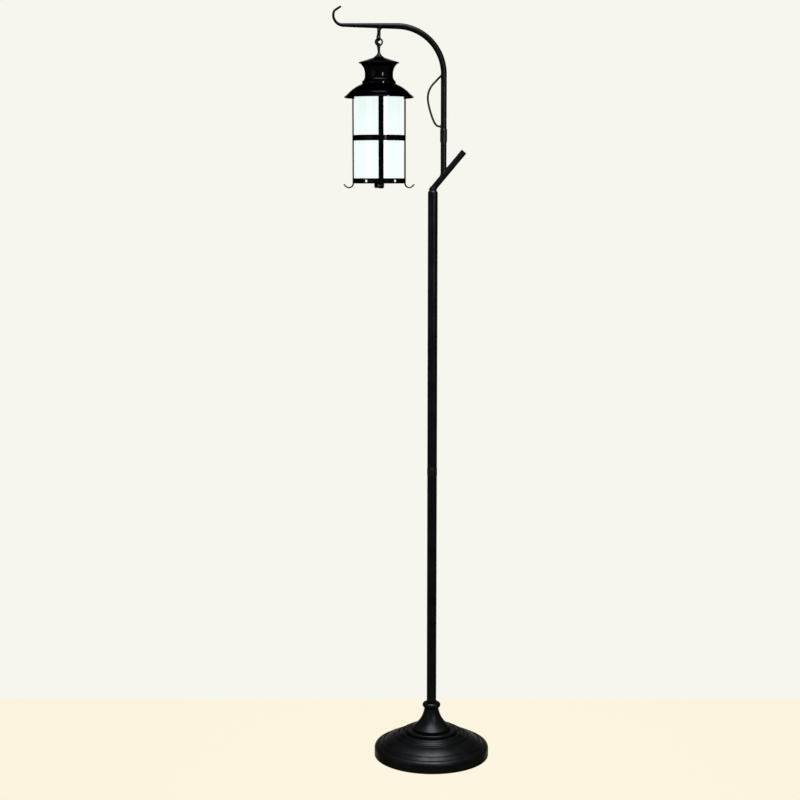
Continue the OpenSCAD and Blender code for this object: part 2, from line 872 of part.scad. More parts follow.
module spider_bar() {
  color(steel)
    at_frame()
      difference() {
        intersection() {
          translate([-40, -spider_w / 2, spider_z - spider_t]) cube([80, spider_w, spider_t]);
          translate([0, 0, spider_z - 5]) cylinder(r = step_r - 2.5, h = 10);
        }
        translate([0, 0, spider_z - 5]) cylinder(r = rod_r + seat, h = 10);
      }
}

module holder_cap() {
  color([0.1, 0.1, 0.1])
    at_lantern()
      difference() {
        rotate_extrude()
          polygon(concat(
            [[0, holder_top], [7, holder_top]],
            arc([holder_r - 8, holder_top - 12], 8, 80, 0, 6),
            [[holder_r, holder_top - 18], [0, holder_top - 18]]
          ));
        translate([0, 0, holder_top - 6]) cylinder(r = rod_r + 0.05, h = 10);
        translate([0, gland_y - 8, holder_top - 30]) cylinder(r = flex_r + 0.6, h = 40);
        translate([0, 0, holder_top - 30]) cylinder(r = holder_r - 6, h = 20);
      }
}

module holder_shell() {
  color([0.1, 0.1, 0.1])
    at_lantern()
      difference() {
        translate([0, 0, socket_foot]) cylinder(r = holder_r, h = holder_top - 18 - socket_foot);
        translate([0, 0, socket_foot - 1]) cylinder(r = socket_r, h = socket_top - socket_foot + 1);
      }
}

module holder_contact() {
  color([0.8, 0.65, 0.3])
    at_lantern()
      translate([0, 0, bulb_cap_top + 0.3]) cylinder(r = 4, h = socket_top - bulb_cap_top - 0.3);
}

module bulb_cap() {
  color(steel)
    at_lantern()
      rotate_extrude()
        polygon(concat(
          [[0, bulb_cap_top], [5, bulb_cap_top], [bulb_cap_r - 2, bulb_cap_top - 3]],
          [for (i = [0 : 5]) for (s = [0, 1])
            [bulb_cap_r - 0.9 * s, bulb_cap_top - 4.5 - 3.4 * i - 1.7 * s]],
          [[bulb_cap_r - 0.2, bulb_cap_top - bulb_cap_h], [0, bulb_cap_top - bulb_cap_h]]
        ));
}

module bulb_globe() {
  neck = bulb_cap_top - bulb_cap_h;
  color([0.95, 0.96, 0.94])
    at_lantern()
      rotate_extrude()
        polygon(concat(
          [[0, neck], [bulb_cap_r - 0.2, neck], [bulb_cap_r - 0.2, neck - 6]],
          arc([0, bulb_z], bulb_r, 48, -90, 20)
        ));
}

// A round band that the straps are fixed on
module hoop(z, h) {
  pipe(band_out_r, band_in_r, z, h);
}

module top_band() {
  color(black) at_lantern() hoop(top_band_z, top_band_h);
}

module mid_band() {
  color(black) at_lantern() hoop(mid_z - mid_band_h / 2, mid_band_h);
}

module bottom_ring() {
  color(black)
    at_frame()
      difference() {
        union() {
          hoop(bottom_z, bottom_band_h);
          pipe(band_in_r + 0.2, lip_in_r, bottom_z, lip_t);
        }
        for (side = [-90, 90])
          for (a = [-hole_from_strap, hole_from_strap])
            translate([0, 0, bottom_z + bottom_band_h / 2])
              rotate([0, 90, side + a])
                translate([0, 0, band_in_r - 4]) cylinder(r = band_hole_d / 2, h = 10);
      }
}

// A strap's centre line: down the glass, round the curl and out along its tip
strap_line =
  let (
    r = strap_in_r + strap_t / 2,
    c = [r + curl_r, curl_z],
    tip = c + curl_r * [cos(-45), sin(-45)]
  )
  concat(
    [[r, strap_top]],
    arc(c, curl_r, 180, 315, 14),
    [tip + curl_tip * [cos(45), sin(45)]]
  );

// Seen from outside: the bar, and the wider forged end
module strap_face() {
  translate([-strap_w / 2, curl_z]) square([strap_w, strap_top - curl_z + 1]);
  translate([0, curl_z - curl_r + 5.4]) circle(r = curl_half_w, $fn = 48);
}

module strap(a) {
  color(black)
    at_frame()
      rotate(a)
        intersection() {
          rotate([90, 0, 0])
            linear_extrude(height = 2 * curl_half_w + 2, center = true)
              polygon(concat(
                beside(strap_line, strap_t / 2), backwards(beside(strap_line, -strap_t / 2))
              ));
          rotate([90, 0, 90]) linear_extrude(height = 120) strap_face();
        }
}

module strap_front() strap(-90);
module strap_right() strap(0);
module strap_back() strap(90);
module strap_left() strap(180);

module glass_gasket() {
  color([0.75, 0.75, 0.73])
    at_lantern() pipe(glass_r - 0.1, glass_r - glass_t + 0.1, bottom_z + lip_t, gasket_t);
}

module glass_shade() {
  color([0.9, 0.97, 0.97, 0.8])
    at_lantern() pipe(glass_r, glass_r - glass_t, glass_foot, glass_h);
}

base_pad();
base_weight();
base_cover();
base_spacer();
base_washer();
base_locknut();
base_nipple();
mains_grommet();
base_bell();
base_collar();
post_foot_plug();
post_lower();
post_joint_band();
post_coupler_lower();
post_middle();
post_coupler_upper();
post_upper();
post_neck();
branch_stub();
branch_cap();
riser();
riser_spigot();
riser_ferrule();
gooseneck();
flex_grommet();
arm_hook();
hanger_staple();
flex_saddles();
inner_lead();
feed_flex();
hanger_ring();
flex_tail();
lantern_eye();
lantern_lid();
lantern_chimney();
lantern_roof();
lid_gland();
hanging_rod();
rod_nuts();
spider_bar();
lamp_lead();
holder_cap();
holder_shell();
holder_contact();
bulb_cap();
bulb_globe();
top_band();
mid_band();
bottom_ring();
strap_front();
strap_right();
strap_back();
strap_left();
glass_gasket();
glass_shade();
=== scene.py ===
"""Dresses the lantern floor lamp: forged arm, welds, straps, flex, enamel, lit opal glass, stage."""

import json
from math import cos, pi, radians, sin, sqrt, tan

import bmesh
import bpy
from mathutils import Matrix, Vector


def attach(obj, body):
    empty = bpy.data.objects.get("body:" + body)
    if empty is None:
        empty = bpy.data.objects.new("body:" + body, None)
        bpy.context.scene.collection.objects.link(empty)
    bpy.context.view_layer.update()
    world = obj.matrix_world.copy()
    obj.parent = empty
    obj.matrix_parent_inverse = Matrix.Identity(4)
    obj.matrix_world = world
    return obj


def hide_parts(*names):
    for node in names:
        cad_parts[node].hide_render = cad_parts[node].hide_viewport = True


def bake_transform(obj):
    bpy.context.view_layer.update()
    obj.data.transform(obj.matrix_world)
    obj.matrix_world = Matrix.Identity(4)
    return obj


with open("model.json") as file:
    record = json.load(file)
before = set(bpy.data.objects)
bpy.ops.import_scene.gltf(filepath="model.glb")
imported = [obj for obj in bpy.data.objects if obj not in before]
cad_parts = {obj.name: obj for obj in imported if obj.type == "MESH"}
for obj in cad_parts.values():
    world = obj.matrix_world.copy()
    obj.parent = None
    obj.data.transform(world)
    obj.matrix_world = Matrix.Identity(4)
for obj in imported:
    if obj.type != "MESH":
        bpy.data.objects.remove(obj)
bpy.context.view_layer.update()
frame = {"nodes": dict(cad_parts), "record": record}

bl_info = {
    "name": "Lantern Floor Lamp",
    "version": (1, 0, 0),
    "blender": (4, 5, 0),
    "location": "View3D > Sidebar > Lantern Lamp",
    "description": "Builds the visible pieces and finishes of a floor lamp with a hanging lantern",
    "category": "Object",
}

MM = 0.001

# The forged bar, in millimetres: its length up to the hook and its radius at both ends
BAR_LENGTH = 110.5
BAR_START_R = 6.1
BAR_END_R = 3.9
# Where the staple hangs under it
STAPLE_AT = 36.5

# Places and sizes of the CAD model, in metres and radians
RISER_X = 22 * MM
TUBE_R = 6.2 * MM
BRANCH_R = 6.35 * MM
BRANCH_Z = 1225.5 * MM
BRANCH_ANGLE = radians(50)
NECK_R = 8 * MM
NECK_TOP = 1228 * MM
BEND_R = 97.5 * MM
BEND_X = RISER_X - BEND_R
BEND_Z = 1460 * MM
ARM_Z = BEND_Z + BEND_R
BAR_LEAN = radians(1.1)
EXIT_Z = 1353.8 * MM
HANG_X = BEND_X - STAPLE_AT * MM
STAPLE_Z = 1528.5 * MM
STAPLE_R = 4.5 * MM
STAPLE_TURN = radians(90 + 25)
LID_Z = 1494.3 * MM
LANTERN_TURN = radians(5)
FLEX_D = 4.4 * MM
SADDLE_Y = 9 * MM
GLAND_Y = 20 * MM


def finish_settings():
    return bpy.context.scene.lamp_finishes


# ---------------------------------------------------------------- mesh helpers

def settle(name, bm, body, material, sharp=None):
    """Turns a bmesh into a smooth-shaded object that rides on a body."""
    bmesh.ops.recalc_face_normals(bm, faces=bm.faces)
    mesh = bpy.data.meshes.new(name)
    bm.to_mesh(mesh)
    bm.free()
    for face in mesh.polygons:
        face.use_smooth = True
    if sharp:
        mesh.set_sharp_from_angle(angle=radians(sharp))
    mesh.materials.append(material)
    piece = bpy.data.objects.new(name, mesh)
    bpy.context.scene.collection.objects.link(piece)
    if body:
        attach(piece, body)
    return piece


def headings(path, closed):
    """The direction of a path at each of its points."""
    n = len(path)
    out = []
    for i in range(n):
        before = path[(i - 1) % n] if closed else path[max(i - 1, 0)]
        after = path[(i + 1) % n] if closed else path[min(i + 1, n - 1)]
        out.append((after - before).normalized())
    return out


def places_along(path, first, closed):
    """A matrix for each point of a path, whose Z runs along it and whose X turns least."""
    out = []
    side = Vector(first)
    for point, ahead in zip(path, headings(path, closed)):
        side = (side - side.dot(ahead) * ahead).normalized()
        across = ahead.cross(side)
        turn = Matrix((side, across, ahead)).transposed().to_4x4()
        out.append(Matrix.Translation(point) @ turn)
    return out


def sweep(path, scales, first=(0, 1, 0), segments=24, phase=0.0, closed=False):
    """Draws a ring of unit radius along a path; scales are its half sizes at each point.

    A ring of four segments is a square, so its corners lie further out.
    """
    path = [Vector(p) for p in path]
    places = [
        place @ Matrix.Diagonal((sx, sy, 1, 1))
        for place, (sx, sy) in zip(places_along(path, first, closed), scales)
    ]
    bm = bmesh.new()
    bmesh.ops.create_circle(
        bm, segments=segments, radius=sqrt(2) if segments == 4 else 1,
        matrix=places[0] @ Matrix.Rotation(phase, 4, "Z"),
    )
    start = bm.edges[:]
    edges = start
    for now, place in zip(places, places[1:]):
        grown = bmesh.ops.extrude_edge_only(bm, edges=edges)["geom"]
        verts = [g for g in grown if isinstance(g, bmesh.types.BMVert)]
        edges = [g for g in grown if isinstance(g, bmesh.types.BMEdge)]
        bmesh.ops.transform(bm, verts=verts, matrix=place @ now.inverted())
    if closed:
        bmesh.ops.bridge_loops(bm, edges=start + edges)
    else:
        bmesh.ops.edgeloop_fill(bm, edges=start)
        bmesh.ops.edgeloop_fill(bm, edges=edges)
    return bm


def sweep_round(path, radius, **settings):
    """Draws a wire of even thickness along a path."""
    return sweep(path, [(radius, radius)] * len(path), **settings)


def resample(points, step):
    """A smooth line through the points, with a point about every step."""
    pts = [Vector(p) for p in points]
    pts = [2 * pts[0] - pts[1]] + pts + [2 * pts[-1] - pts[-2]]
    out = []
    for a, b, c, d in zip(pts, pts[1:], pts[2:], pts[3:]):
        count = max(1, round((c - b).length / step))
        for k in range(count):
            t = k / count
            square = (2 * a - 5 * b + 4 * c - d) * t * t
            cube = (3 * b - a - 3 * c + d) * t ** 3
            out.append(0.5 * (2 * b + (c - a) * t + square + cube))
    out.append(pts[-2].copy())
    return out


def length_of(path):
    return sum((b - a).length for a, b in zip(path, path[1:]))


def spoke(degrees):
    """The unit vector at an angle in a plane."""
    return Vector((cos(radians(degrees)), sin(radians(degrees))))


def round_angles(count):
    """Evenly spaced angles of a full turn."""
    return [2 * pi * k / count for k in range(count)]


def along_bar(distance):
    """A point of the flex behind the leaning bar, some millimetres from the end of the bend."""
    return (BEND_X - distance * MM, SADDLE_Y, ARM_Z + distance * MM * tan(BAR_LEAN))


def bar_radius(distance):
    """The forged bar's radius in millimetres, some millimetres from the end of the bend."""
    return BAR_START_R - (BAR_START_R - BAR_END_R) / BAR_LENGTH * distance


def at_lantern(out, x, z):
    """A point of the lantern, some millimetres out in a direction and above the lid's flat."""
    return Vector((HANG_X, 0, LID_Z)) + out * x * MM + Vector((0, 0, z * MM))


# ---------------------------------------------------------------- materials

class Nodes:
    """The nodes of a material or a world, and short ways to add to them."""

    def __init__(self, owner):
        owner.use_nodes = True
        self.tree = owner.node_tree
        self.link = self.tree.links.new

    def add(self, kind, **settings):
        """Adds a node; a setting is the value of its input, or else a property."""
        node = self.tree.nodes.new(kind)
        for key, value in settings.items():
            if key in node.inputs:
                node.inputs[key].default_value = value
            else:
                setattr(node, key, value)
        return node

    def coords(self):
        return self.add("ShaderNodeTexCoord").outputs["Object"]

    def math(self, operation, *values):
        """Works out one number from numbers and other nodes' outputs."""
        node = self.add("ShaderNodeMath", operation=operation)
        for socket, value in zip(node.inputs, values):
            if isinstance(value, bpy.types.NodeSocket):
                self.link(value, socket)
            else:
                socket.default_value = value
        return node.outputs[0]

    def noise(self, coords, scale, detail=3.0, roughness=0.5):
        noise = self.add("ShaderNodeTexNoise", Scale=scale, Detail=detail, Roughness=roughness)
        self.link(coords, noise.inputs["Vector"])
        return noise.outputs["Fac"]

    def ramp(self, fac, *stops):
        """A colour that follows a factor between two stops, each a place and a colour."""
        ramp = self.add("ShaderNodeValToRGB")
        for element, (place, colour) in zip(ramp.color_ramp.elements, stops):
            element.position = place
            element.color = (*colour, 1)
        self.link(fac, ramp.inputs["Fac"])
        return ramp.outputs["Color"]

    def bump(self, height, strength, distance):
        bump = self.add("ShaderNodeBump", Strength=strength, Distance=distance)
        self.link(height, bump.inputs["Height"])
        return bump.outputs["Normal"]

    def seen(self):
        """One where the camera, a mirror or a pane looks straight at the surface."""
        path = self.add("ShaderNodeLightPath").outputs
        mirrored = self.math("MAXIMUM", path["Is Camera Ray"], path["Is Glossy Ray"])
        return self.math("MAXIMUM", mirrored, path["Is Transmission Ray"])

    def show(self, share, plain, other):
        """Sends two shaders to the output, the other one by its share."""
        mix = self.add("ShaderNodeMixShader")
        for socket, output in zip(mix.inputs, (share, plain.outputs[0], other.outputs[0])):
            self.link(output, socket)
        end = next(n for n in self.tree.nodes if n.name.endswith("Output"))
        self.link(mix.outputs[0], end.inputs["Surface"])


def new_material(name):
    """An empty material: the material, its Principled shader's sockets, and its nodes."""
    material = bpy.data.materials.new(name)
    nodes = Nodes(material)
    return material, nodes.tree.nodes["Principled BSDF"].inputs, nodes


def grey(value):
    return (value, value, value)


def shade(colour, factor):
    return tuple(min(1, c * factor) for c in colour)


def coated(name, colour, rough, ripple, grain, metal=0.0, gloss=0.2, streak=1.0, edge=1.0):
    """A finish with slow ripples, fine grain, and roughness and colour that vary a little.

    A streak below 1 draws the pattern out along Z, and an edge below 1 holds back the sheen
    that a metal shows at grazing angles.
    """
    material, shader, nodes = new_material(name)
    stretched = nodes.add("ShaderNodeMapping", Scale=(1, 1, streak))
    nodes.link(nodes.coords(), stretched.inputs["Vector"])
    slow = nodes.noise(stretched.outputs["Vector"], 38, 2.5)
    fine = nodes.noise(stretched.outputs["Vector"], 900, 3.0, 0.6)
    tint = nodes.ramp(slow, (0.35, shade(colour, 0.78)), (0.7, shade(colour, 1.25)))
    nodes.link(tint, shader["Base Color"])
    dull = nodes.ramp(fine, (0.3, grey(rough * 0.86)), (0.72, grey(min(1, rough * 1.16))))
    nodes.link(dull, shader["Roughness"])
    height = nodes.math("MULTIPLY_ADD", fine, grain, nodes.math("MULTIPLY", slow, ripple))
    nodes.link(nodes.bump(height, 1.0, 0.0004), shader["Normal"])
    shader["Metallic"].default_value = metal
    shader["Specular Tint"].default_value = (*grey(edge), 1)
    shader["Specular IOR Level"].default_value = gloss
    return material


def hammered(name, colour, rough):
    """Forged bar under satin black: shallow facets from the hammer under the coat."""
    material, shader, nodes = new_material(name)
    coords = nodes.coords()
    facets = nodes.add("ShaderNodeTexVoronoi", feature="SMOOTH_F1", Scale=120.0, Smoothness=0.9)
    nodes.link(coords, facets.inputs["Vector"])
    fine = nodes.noise(coords, 700, 3.0, 0.6)
    blotch = nodes.noise(coords, 60, 2.0)
    tint = nodes.ramp(blotch, (0.3, shade(colour, 0.75)), (0.75, shade(colour, 1.3)))
    nodes.link(tint, shader["Base Color"])
    dull = nodes.ramp(fine, (0.3, grey(rough * 0.85)), (0.7, grey(rough * 1.2)))
    nodes.link(dull, shader["Roughness"])
    height = nodes.math("MULTIPLY_ADD", fine, 0.12, facets.outputs["Distance"])
    nodes.link(nodes.bump(height, 0.35, 0.0006), shader["Normal"])
    shader["Metallic"].default_value = 1.0
    shader["Specular Tint"].default_value = (*grey(0.5), 1)
    return material


def lit_opal(name, colour, glow):
    """Opal glass with the lamp on behind it: an even glow under a polished skin."""
    material, shader, nodes = new_material(name)
    coords = nodes.coords()
    cloud = nodes.noise(coords, 14, 2.0)
    # The base stays dark, so that light from outside adds little to the glow
    for socket, share in (("Base Color", 0.06), ("Emission Color", 1.0)):
        tint = nodes.ramp(cloud, (0.3, shade(colour, 0.98 * share)), (0.7, shade(colour, share)))
        nodes.link(tint, shader[socket])
    shader["Emission Strength"].default_value = glow
    waves = nodes.noise(coords, 45, 1.0)
    nodes.link(nodes.ramp(waves, (0.3, grey(0.1)), (0.7, grey(0.16))), shader["Roughness"])
    nodes.link(nodes.bump(waves, 0.15, 0.0005), shader["Normal"])
    shader["Specular IOR Level"].default_value = 0.35
    return material


def pressed_felt(name, colour):
    """Felt of short fibres that show as fine light and dark flecks."""
    material, shader, nodes = new_material(name)
    fibres = nodes.noise(nodes.coords(), 1400, 4.0, 0.7)
    nodes.link(nodes.ramp(fibres, (0.3, shade(colour, 0.5)), (0.75, colour)), shader["Base Color"])
    nodes.link(nodes.bump(fibres, 0.8, 0.0006), shader["Normal"])
    shader["Roughness"].default_value = 0.95
    shader["Sheen Weight"].default_value = 0.3
    return material


def flex_black(name):
    """The dull black sheath of flex and lead."""
    return coated(name, (0.002, 0.002, 0.0022), 0.42, 0.05, 0.12, gloss=0.1)


# ---------------------------------------------------------------- settings

class LAMP_PG_finishes(bpy.types.PropertyGroup):
    post_colour: bpy.props.FloatVectorProperty(
        name="Post enamel", description="Colour of foot, post and tubes",
        default=(0.0045, 0.0047, 0.0052), subtype="COLOR", size=3, min=0, max=1,
    )
    band_colour: bpy.props.FloatVectorProperty(
        name="Joint bands", description="Colour of the ferrule and of the post's joint band",
        default=(0.0066, 0.0068, 0.0074), subtype="COLOR", size=3, min=0, max=1,
    )
    lantern_colour: bpy.props.FloatVectorProperty(
        name="Lantern enamel", description="Colour of lid, chimney, roof, bands and straps",
        default=(0.0021, 0.0022, 0.0024), subtype="COLOR", size=3, min=0, max=1,
    )
    glass_colour: bpy.props.FloatVectorProperty(
        name="Opal glass", description="Colour of the glass with the lamp lit",
        default=(0.885, 1.0, 0.988), subtype="COLOR", size=3, min=0, max=1,
    )
    glass_glow: bpy.props.FloatProperty(
        name="Glow", description="Strength of the light that comes through the glass",
        default=0.88, min=0, max=3,
    )


class LAMP_PG_sizes(bpy.types.PropertyGroup):
    strap_width: bpy.props.FloatProperty(
        name="Strap width", description="Width of the four straps down the glass",
        default=10.3 * MM, unit="LENGTH", min=0.008, max=0.012,
    )
    strap_thickness: bpy.props.FloatProperty(
        name="Strap thickness", description="Thickness of the four straps",
        default=2.7 * MM, unit="LENGTH", min=0.0016, max=0.003,
    )
    curl_width: bpy.props.FloatProperty(
        name="Curl width", description="Width of the forged curl at the foot of a strap",
        default=12.6 * MM, unit="LENGTH", min=0.01, max=0.014,
    )
    weld: bpy.props.FloatProperty(
        name="Weld bead", description="Diameter of the welds' beads",
        default=2.2 * MM, unit="LENGTH", min=0.001, max=0.003,
    )
    wired_edge: bpy.props.FloatProperty(
        name="Wired edge", description="Diameter of the wire rolled into roof and lid",
        default=2.4 * MM, unit="LENGTH", min=0.0015, max=0.003,
    )


class LAMP_PG_stage(bpy.types.PropertyGroup):
    floor_colour: bpy.props.FloatVectorProperty(
        name="Floor", description="Colour of the floor",
        default=(0.982, 0.913, 0.745), subtype="COLOR", size=3, min=0, max=1,
    )
    backdrop_colour: bpy.props.FloatVectorProperty(
        name="Backdrop", description="Colour of the backdrop",
        default=(0.922, 0.922, 0.855), subtype="COLOR", size=3, min=0, max=1,
    )
    floor_back: bpy.props.FloatProperty(
        name="Floor's back edge", description="From the post back to where the floor ends",
        default=0.372, unit="LENGTH", min=0.2, max=3,
    )
    camera_height: bpy.props.FloatProperty(
        name="Camera height", description="Height of the camera above the floor",
        default=1.25, unit="LENGTH", min=0.5, max=3,
    )
    camera_distance: bpy.props.FloatProperty(
        name="Camera distance", description="From the camera to the post",
        default=3.391, unit="LENGTH", min=1, max=8,
    )
    focal_length: bpy.props.FloatProperty(
        name="Focal length", description="Focal length on a 36 mm sensor",
        default=72.6, min=20, max=200, unit="CAMERA",
    )


# ---------------------------------------------------------------- pieces

class LAMP_OT_stage(bpy.types.Operator):
    """Camera, soft studio lights, pale floor, and a world in the backdrop's colour"""

    bl_idname = "lamp.stage"
    bl_label = "Stage"

    # In metres: the point that the camera looks at, straight in front of it, and the floor's size
    AIM = Vector((-0.0685, 0, 0.7814))
    FLOOR_WIDTH = 24
    FLOOR_DEPTH = 12
    # Share of its colour that the floor throws back, and share of it that shows as written
    FLOOR_BOUNCE = 0.22
    FLOOR_PLAIN = 0.95
    # Strength of the room's own light on the lamp
    ROOM_LIGHT = 0.35
    # Name, place, aim, size, spread in degrees, power in watts, colour
    LIGHTS = (
        ("key", (1.15, -2.1, 1.55), (-0.08, 0, 1.2), (0.22, 0.26), 180, 44, (1, 0.99, 0.97)),
        ("fill", (-2.1, -1.9, 1.5), (-0.08, 0, 0.9), (1.4, 1.8), 180, 14, (0.97, 0.98, 1)),
        ("top", (0, -0.45, 2.5), (0, 0, 0), (1.4, 2.0), 75, 68, (0.94, 0.97, 1)),
    )

    def aimed(self, name, data, place, aim):
        """A camera or a light at one point that looks at another."""
        thing = bpy.data.objects.new(name, data)
        thing.location = place
        thing.rotation_mode = "QUATERNION"
        thing.rotation_quaternion = (Vector(aim) - Vector(place)).to_track_quat("-Z", "Y")
        bpy.context.scene.collection.objects.link(thing)
        return thing

    def execute(self, context):
        s = context.scene.lamp_stage
        scene = context.scene
        scene.view_settings.view_transform = "Standard"
        lens = bpy.data.cameras.new("camera")
        lens.lens = s.focal_length
        lens.sensor_width = 36
        lens.clip_start = 0.05
        lens.clip_end = 50
        place = (self.AIM.x, -s.camera_distance, s.camera_height)
        scene.camera = self.aimed("camera", lens, place, self.AIM)

        bm = bmesh.new()
        bmesh.ops.create_grid(bm, x_segments=1, y_segments=1, size=0.5)
        bmesh.ops.scale(bm, verts=bm.verts, vec=(self.FLOOR_WIDTH, self.FLOOR_DEPTH, 1))
        back = s.floor_back - self.FLOOR_DEPTH / 2
        bmesh.ops.translate(bm, verts=bm.verts, vec=(0, back, 0))
        floor = settle("floor", bm, None, self.floor_material(s.floor_colour))
        scene.world = self.studio(s.backdrop_colour)

        for name, where, aim, size, spread, power, colour in self.LIGHTS:
            light = bpy.data.lights.new(name, "AREA")
            light.shape = "RECTANGLE"
            light.size, light.size_y = size
            light.spread = radians(spread)
            light.energy = power
            light.color = colour
            self.aimed(name, light, where, aim)
        return {"FINISHED"}

    def floor_material(self, colour):
        """The colour as written where it is seen, darkened only by the lamp's shadow."""
        material, shader, nodes = new_material("floor")
        shader["Base Color"].default_value = (*shade(colour, self.FLOOR_BOUNCE), 1)
        shader["Roughness"].default_value = 0.9
        shader["Specular IOR Level"].default_value = 0.1
        glow = nodes.add("ShaderNodeEmission", Color=(*colour, 1))
        share = nodes.math("MULTIPLY", nodes.seen(), self.FLOOR_PLAIN)
        nodes.show(share, nodes.tree.nodes["Principled BSDF"], glow)
        return material

    def studio(self, colour):
        """A pale room that lights softly and is seen in the backdrop's colour."""
        world = bpy.data.worlds.new("studio")
        nodes = Nodes(world)
        room = nodes.tree.nodes["Background"]
        room.inputs["Color"].default_value = (1, 1, 1, 1)
        room.inputs["Strength"].default_value = self.ROOM_LIGHT
        backdrop = nodes.add("ShaderNodeBackground", Color=(*colour, 1), Strength=1.0)
        nodes.show(nodes.seen(), room, backdrop)
        return world


class LAMP_OT_flex(bpy.types.Operator):
    """The black flex: its loop beside the tube, its run behind the arm, and its tail"""

    bl_idname = "lamp.flex"
    bl_label = "Flex"

    # From the hole in the tube to the first saddle, from the riser's axis and the hole's height
    LOOP = (
        (-3.3, 0, 0), (-8, 0, 0), (-13, 0, 1), (-18, 0, 6), (-22, 0, 14), (-27, 0, 28),
        (-31, 0, 43), (-33, 1, 57.5), (-31, 3.5, 71), (-25, 6.5, 83), (-15, 8.7, 94),
        (-5, 9, 104.2),
    )
    # From the last saddle to the gland, from the hanging line and the staple's lowest wire
    TAIL = (
        (7, 9.2, 28), (2, 10, 22.5), (-2, 11, 13), (-3.4, 12.2, 3), (-3, 13.8, -6.2),
        (-1.4, 16.6, -15), (-0.2, 19.2, -21.8),
    )

    def execute(self, context):
        sheath = flex_black("flex_sheath")
        # The loop, then the first saddle, the bend, and the bar up to the last saddle
        route = [(RISER_X + x * MM, y * MM, EXIT_Z + z * MM) for x, y, z in self.LOOP]
        route.append((RISER_X, SADDLE_Y, BEND_Z + 3 * MM))
        route += [
            (BEND_X + BEND_R * cos(radians(a)), SADDLE_Y, BEND_Z + BEND_R * sin(radians(a)))
            for a in range(5, 91, 5)
        ]
        route += [along_bar(9), along_bar(22.5)]
        path = resample(route, 4 * MM)
        bm = sweep_round(path, FLEX_D / 2, segments=20)
        piece = settle("flex", bm, "lamp", sheath)
        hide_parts("feed_flex")

        tail = [along_bar(22.8), along_bar(25.5)]
        tail += [(HANG_X + x * MM, y * MM, STAPLE_Z + z * MM) for x, y, z in self.TAIL]
        tail += [(HANG_X, GLAND_Y, LID_Z + z * MM) for z in (8, 5.3)]
        path = resample(tail, 1.5 * MM)
        # The tail is two pieces that meet at the ring
        ring_z = STAPLE_Z + 1 * MM
        middle = min(range(len(path)), key=lambda i: abs(path[i].z - ring_z))
        halves = (
            ("flex_tail_upper", path[: middle + 1], "lamp", "ring"),
            ("flex_tail_lower", path[middle:], "ring", "lantern"),
        )
        for name, line, above, below in halves:
            bm = sweep_round(line, FLEX_D / 2, segments=20)
            piece = settle(name, bm, None, sheath)
            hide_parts("flex_tail")
            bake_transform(piece)
        return {"FINISHED"}


class LAMP_OT_arm(bpy.types.Operator):
    """The forged arm: a bar that tapers from the bend and ends in a hook"""

    bl_idname = "lamp.arm"
    bl_label = "Forged arm"

    # In millimetres: the hook's radius, the tighter one near its end, the straight tip
    HOOK_R = 20.0
    TIGHT_R = 9.0
    TIP_LENGTH = 14
    TIP_R = 2.2
    # In degrees round the hook: where it tightens, and where it runs out straight
    TIGHTENS_AT = 165.0
    STRAIGHT_AT = 124.0
    # Millimetres that the hook's start is thicker than its tip, in radius, and the share of the
    # hook in which the bar thins to it
    SWELL = 0.9
    THINNED_AT = 0.3

    def line(self):
        """Points and radii along the bar and hook, in the bar's own frame, in millimetres."""
        bar = [Vector((-s, 0)) for s in range(0, 108, 3)]
        centre = Vector((-BAR_LENGTH, self.HOOK_R))
        hook = [centre + self.HOOK_R * spoke(270 - 2.5 * i) for i in range(42)]
        centre += (self.HOOK_R - self.TIGHT_R) * spoke(self.TIGHTENS_AT)
        hook += [
            centre + self.TIGHT_R * spoke(self.TIGHTENS_AT - 4 * i) for i in range(1, 11)
        ]
        start = centre + self.TIGHT_R * spoke(self.STRAIGHT_AT)
        ahead = spoke(self.STRAIGHT_AT - 90)
        reach = self.TIP_LENGTH * ahead
        hook += [start + s * reach for s in (0.15, 0.3, 0.45, 0.6, 0.75, 0.85)]
        sizes = [bar_radius(-p.x) for p in bar]
        for i in range(len(hook)):
            s = i / (len(hook) + 4)
            even = self.TIP_R + self.SWELL * (1 - s)
            left = max(0.0, 1 - s / self.THINNED_AT)
            sizes.append(even + (BAR_END_R - even) * left ** 1.6)
        points = bar + hook
        dome = self.TIP_R * 1.02 * ahead
        for a in (0, 20, 40, 58, 74, 86):
            points.append(start + reach - dome + dome * sin(radians(a)))
            sizes.append(self.TIP_R * cos(radians(a)))
        return points, sizes

    def execute(self, context):
        points, sizes = self.line()
        lean = BAR_LEAN
        path = [
            (
                BEND_X + (p.x * cos(lean) + p.y * sin(lean)) * MM,
                0,
                ARM_Z + (p.y * cos(lean) - p.x * sin(lean)) * MM,
            )
            for p in points
        ]
        bm = sweep(path, [(r * MM, r * MM) for r in sizes], segments=40)
        forged = hammered("forged_black", finish_settings().post_colour, 0.34)
        piece = settle("forged_arm", bm, "lamp", forged, sharp=60)
        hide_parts("arm_hook")
        return {"FINISHED"}


